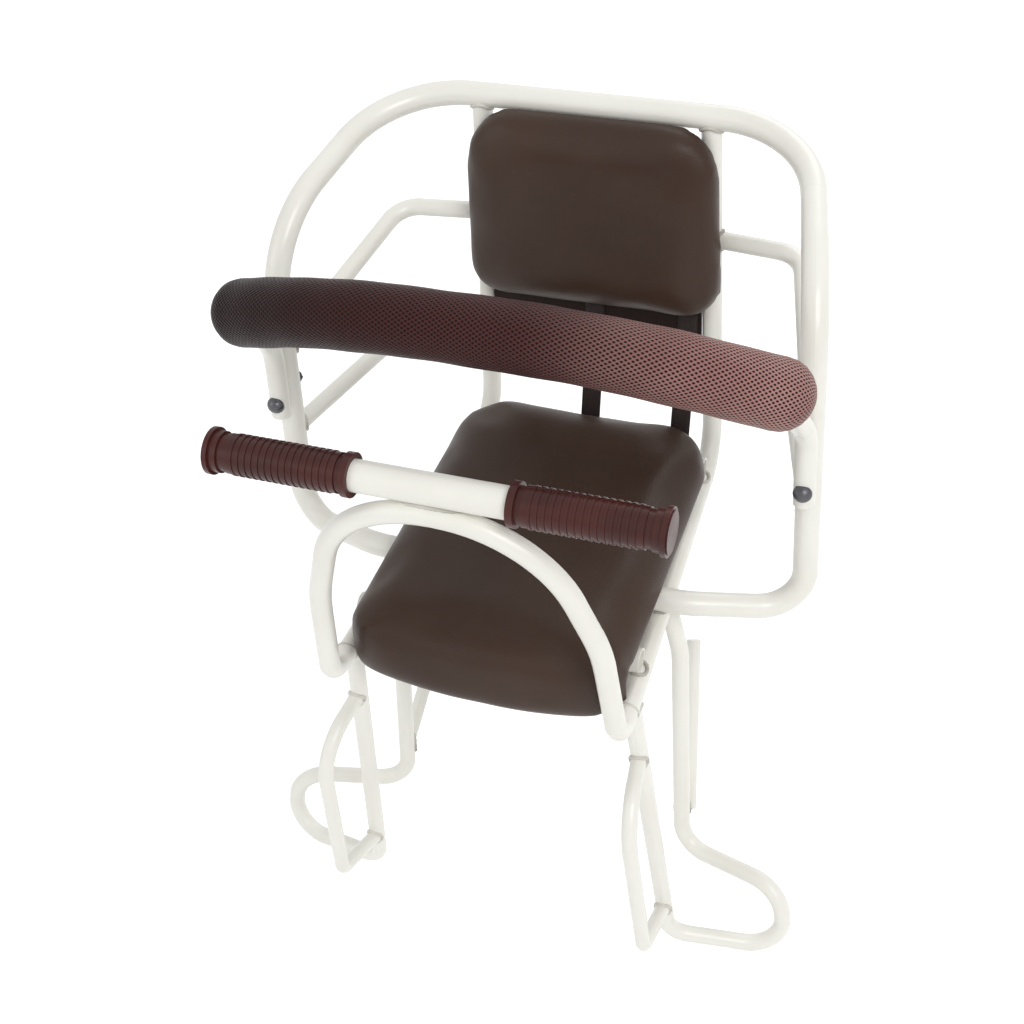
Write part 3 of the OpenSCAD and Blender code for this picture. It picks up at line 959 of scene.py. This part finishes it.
# each station has its run, its taper, and the cloth's length from the middle
RING = 56
STATION_STEP = 4 * MM
END_TURNS = (15, 30, 45, 58, 70, 80)
LEFT_SHORT = 0.0045
count = round(half_length / STATION_STEP)
stations = [
    (i * half_length / count, 1.0, i * half_length / count)
    for i in range(-count, count + 1)
]
for degrees in END_TURNS:
    a = math.radians(degrees)
    beyond = half_length + FOAM_R * math.sin(a)
    stations.append((beyond, math.cos(a), half_length + FOAM_R * a))
    stations.insert(0, (-beyond, math.cos(a), -half_length - FOAM_R * a))
bm = bmesh.new()
uv = bm.loops.layers.uv.new("UVMap")
rings = sweep(
    bm,
    [
        bar_frame(s + LEFT_SHORT * max(0.0, -s / half_length) ** 4)
        for s, _, _ in stations
    ],
    [FOAM_R * taper * girth(s) for s, taper, _ in stations],
    RING,
)
where_is = {
    v: (run, number / RING)
    for ring, (_, _, run) in zip(rings, stations)
    for number, v in enumerate(ring)
}
for face in bm.faces:
    angles = [where_is[loop.vert][1] for loop in face.loops]
    for loop, a in zip(face.loops, angles):
        if max(angles) - min(angles) > 0.5 and a < 0.5:
            a += 1
        loop[uv].uv = (where_is[loop.vert][0], a * 2 * math.pi * FOAM_R)
for ring in (rings[0], rings[-1]):
    cap = bmesh.ops.contextual_create(bm, geom=ring)["faces"]
    for face in cap:
        for loop in face.loops:
            loop[uv].uv = (where_is[loop.vert][0], 0)


def mesh_group():
    """Two sets of slanting yarns that cross: 0 on a yarn, 1 in a hole."""
    tree, given, out = group_of(
        "knit_mesh", [("Along", 900.0), ("Across", 1250.0)], ["Hole"]
    )
    tree.interface.new_socket(
        "Where", in_out="INPUT", socket_type="NodeSocketVector"
    )
    parts = node(tree, "ShaderNodeSeparateXYZ")
    tree.links.new(given.outputs["Where"], parts.inputs[0])

    def maths(kind, *values):
        """A Math node over these sockets."""
        made = node(tree, "ShaderNodeMath", operation=kind)
        for number, value in enumerate(values):
            tree.links.new(value, made.inputs[number])
        return made.outputs[0]

    along = maths("MULTIPLY", parts.outputs["X"], given.outputs["Along"])
    across = maths("MULTIPLY", parts.outputs["Y"], given.outputs["Across"])
    one, two = (
        maths("ABSOLUTE", maths("SINE", maths(way, along, across)))
        for way in ("ADD", "SUBTRACT")
    )
    tree.links.new(maths("MULTIPLY", one, two), out.inputs["Hole"])
    return tree


knit_mesh = mesh_group()


def add_mesh(tree, uv_in, along, across):
    """The holes of a mesh or weave, so many radians a metre each way."""
    made = node(tree, "ShaderNodeGroup", node_tree=knit_mesh)
    made.inputs["Along"].default_value = along
    made.inputs["Across"].default_value = across
    tree.links.new(uv_in.outputs["UV"], made.inputs["Where"])
    return made.outputs["Hole"]


# the cover is dark at its right hand end and lighter pink towards its left: painted shade
# and a painted highlight along the bar
knit = bpy.data.materials.new("maroon_knit")
tree, shader, link = nodes_of(knit)
uv_in = node(tree, "ShaderNodeUVMap", uv_map="UVMap")
holes = add_mesh(tree, uv_in, 720, 47 / (2 * FOAM_R))
run_of = node(tree, "ShaderNodeSeparateXYZ")
link(uv_in.outputs["UV"], run_of.inputs[0])
painted_highlight_mask = smooth_step(tree, run_of.outputs["X"], 0.03, 0.17)
painted_light_ramp = smooth_step(tree, run_of.outputs["X"], -0.2, 0.02)
wear_and_highlight_patches = add_patches(tree, 9.0, 0.3, 0.75)
painted_shade_end = mix_colours(tree, painted_light_ramp, (0.014, 0.003, 0.003), (0.07, 0.024, 0.022))
painted_highlight_pink = mix_colours(tree, wear_and_highlight_patches, (0.31, 0.15, 0.135), (0.5, 0.3, 0.27))
yarn_colour = mix_colours(tree, painted_highlight_mask, painted_shade_end, painted_highlight_pink)
open_mesh = smooth_step(tree, holes, 0.3, 0.8)
knit_colour = mix_colours(tree, open_mesh, yarn_colour, (0.008, 0.003, 0.003))
link(knit_colour, shader.inputs["Base Color"])
plain(
    shader,
    Roughness=0.38,
    IOR=1.3,
    Specular_IOR_Level=0.2,
    Sheen_Weight=0.01,
    Sheen_Roughness=0.4,
)
bump(tree, shader, upside_down(tree, holes, 1), 0.9, 0.0007)
guard_cover = piece_from(bm, "guard_bar_cover", knit, ["guard_bar_pad"])

# the cover's seam, a sewn ridge low on its rear side
SEAM_STEPS = 90
STITCH_R, STITCH_SLIM = 1.1 * MM, 0.8
seam_turn = Vector((0, 0.6, -0.8))
bm = bmesh.new()
uv = bm.loops.layers.uv.new("UVMap")
seam_runs = [half_length * (i / SEAM_STEPS - 1) for i in range(2 * SEAM_STEPS + 1)]
rings = sweep(
    bm,
    [
        bar_frame(s) @ Matrix.Translation(seam_turn * (FOAM_R * girth(s) + 0.2 * MM))
        for s in seam_runs
    ],
    [STITCH_R * (1.0 if i % 2 else STITCH_SLIM) for i in range(len(seam_runs))],
    10,
)
for ring in (rings[0], rings[-1]):
    bmesh.ops.contextual_create(bm, geom=ring)
piece_from(bm, "guard_bar_seam", knit)

# ---------------------------------------------------------------- grips
# Two soft rubber grips with moulded ribs, dark red brown, pushed on the grab
# bar.  The rubber is a little uneven in colour and gloss from handling.
grip_rubber = bpy.data.materials.new("brown_rubber")
tree, shader, link = nodes_of(grip_rubber)
handled = add_patches(tree, 30.0, 0.35, 0.7)
rubber_colour = mix_colours(tree, handled, (0.058, 0.012, 0.009), (0.042, 0.009, 0.007))
link(rubber_colour, shader.inputs["Base Color"])
link(
    between(tree, add_patches(tree, 45.0, 0.3, 0.7), 0.28, 0.4),
    shader.inputs["Roughness"],
)
shader.inputs["Specular IOR Level"].default_value = 0.3
bump(tree, shader, noise(tree, 1200.0), 0.3, 0.0002)
for name in ("grip_left", "grip_right"):
    coat(name, grip_rubber)

# ---------------------------------------------------------------- webbing
# Two straps of dark woven webbing, 16 mm wide.  Each is wrapped under the
# rear crossbar, drawn tight up behind the seat and fixed to the back board.
strap_weave = bpy.data.materials.new("dark_webbing")
tree, shader, link = nodes_of(strap_weave)
uv_in = node(tree, "ShaderNodeUVMap", uv_map="UVMap")
weave = add_mesh(tree, uv_in, 1750, 1750)
web_colour = mix_colours(tree, weave, (0.03, 0.019, 0.017), (0.012, 0.008, 0.007))
link(web_colour, shader.inputs["Base Color"])
plain(shader, Roughness=0.6, Specular_IOR_Level=0.25, Sheen_Weight=0.03)
bump(tree, shader, weave, 0.7, 0.0004)

# its path: round the crossbar, up to the board, and along the board's front
STRAP_W, STRAP_T = 16 * MM, 1.7 * MM
ROUND_STEPS, FREE_STEPS, BOARD_STEPS = 24, 20, 6
bar_spot = Vector((0, 119.5, 28.5)) * MM
strap_r = 10.9 * MM
up_way = Vector((0, math.sin(LEAN), math.cos(LEAN)))
fore_way = Vector((0, -math.cos(LEAN), math.sin(LEAN)))
strap_high = UPRIGHT_FOOT + up_way * 111 * MM + fore_way * 9.2 * MM
strap_end = UPRIGHT_FOOT + up_way * 138.5 * MM + fore_way * 9.2 * MM
reach = strap_high - bar_spot
leaves = math.atan2(reach.z, reach.y) - math.acos(strap_r / reach.length)
strap_path = []
for i in range(ROUND_STEPS + 1):
    a = math.pi + (math.pi + leaves) * i / ROUND_STEPS
    strap_path.append(bar_spot + Vector((0, math.cos(a), math.sin(a))) * strap_r)
strap_free = strap_path[-1]
for i in range(1, FREE_STEPS + 1):
    strap_path.append(strap_free.lerp(strap_high, i / FREE_STEPS))
for i in range(1, BOARD_STEPS + 1):
    strap_path.append(strap_high.lerp(strap_end, i / BOARD_STEPS))
strap_run = [0.0]
for a, b in zip(strap_path, strap_path[1:]):
    strap_run.append(strap_run[-1] + (b - a).length)

for name, cad_name, middle_x in (
    ("strap_middle", "webbing_middle", 0),
    ("strap_side", "webbing_side", 78 * MM),
):
    bm = bmesh.new()
    uv = bm.loops.layers.uv.new("UVMap")
    last = len(strap_path) - 1
    bmesh.ops.create_grid(bm, x_segments=4, y_segments=last, size=0.5)
    for v in bm.verts:
        number = round((v.co.y + 0.5) * last)
        x = middle_x + v.co.x * STRAP_W
        v.co = Vector((x, 0, 0)) + strap_path[number]
        v.index = number
    for face in bm.faces:
        for loop in face.loops:
            loop[uv].uv = (strap_run[loop.vert.index], loop.vert.co.x)
    strap = piece_from(bm, name, strap_weave, [cad_name])
    thick = strap.modifiers.new("cloth", "SOLIDIFY")
    thick.thickness = STRAP_T
    thick.offset = 0

# ---------------------------------------------------------------- fasteners
# Zinc plated steel bolts, nuts and screws.
zinc = bpy.data.materials.new("zinc_steel")
tree, shader, link = nodes_of(zinc)
plain(shader, Base_Color=(0.11, 0.11, 0.12, 1), Metallic=0.9)
link(
    between(tree, add_patches(tree, 90.0, 0.3, 0.7), 0.3, 0.5),
    shader.inputs["Roughness"],
)
for name in ("guard_bolts", "guard_nuts", "seat_bolts", "back_screws"):
    coat(name, zinc)
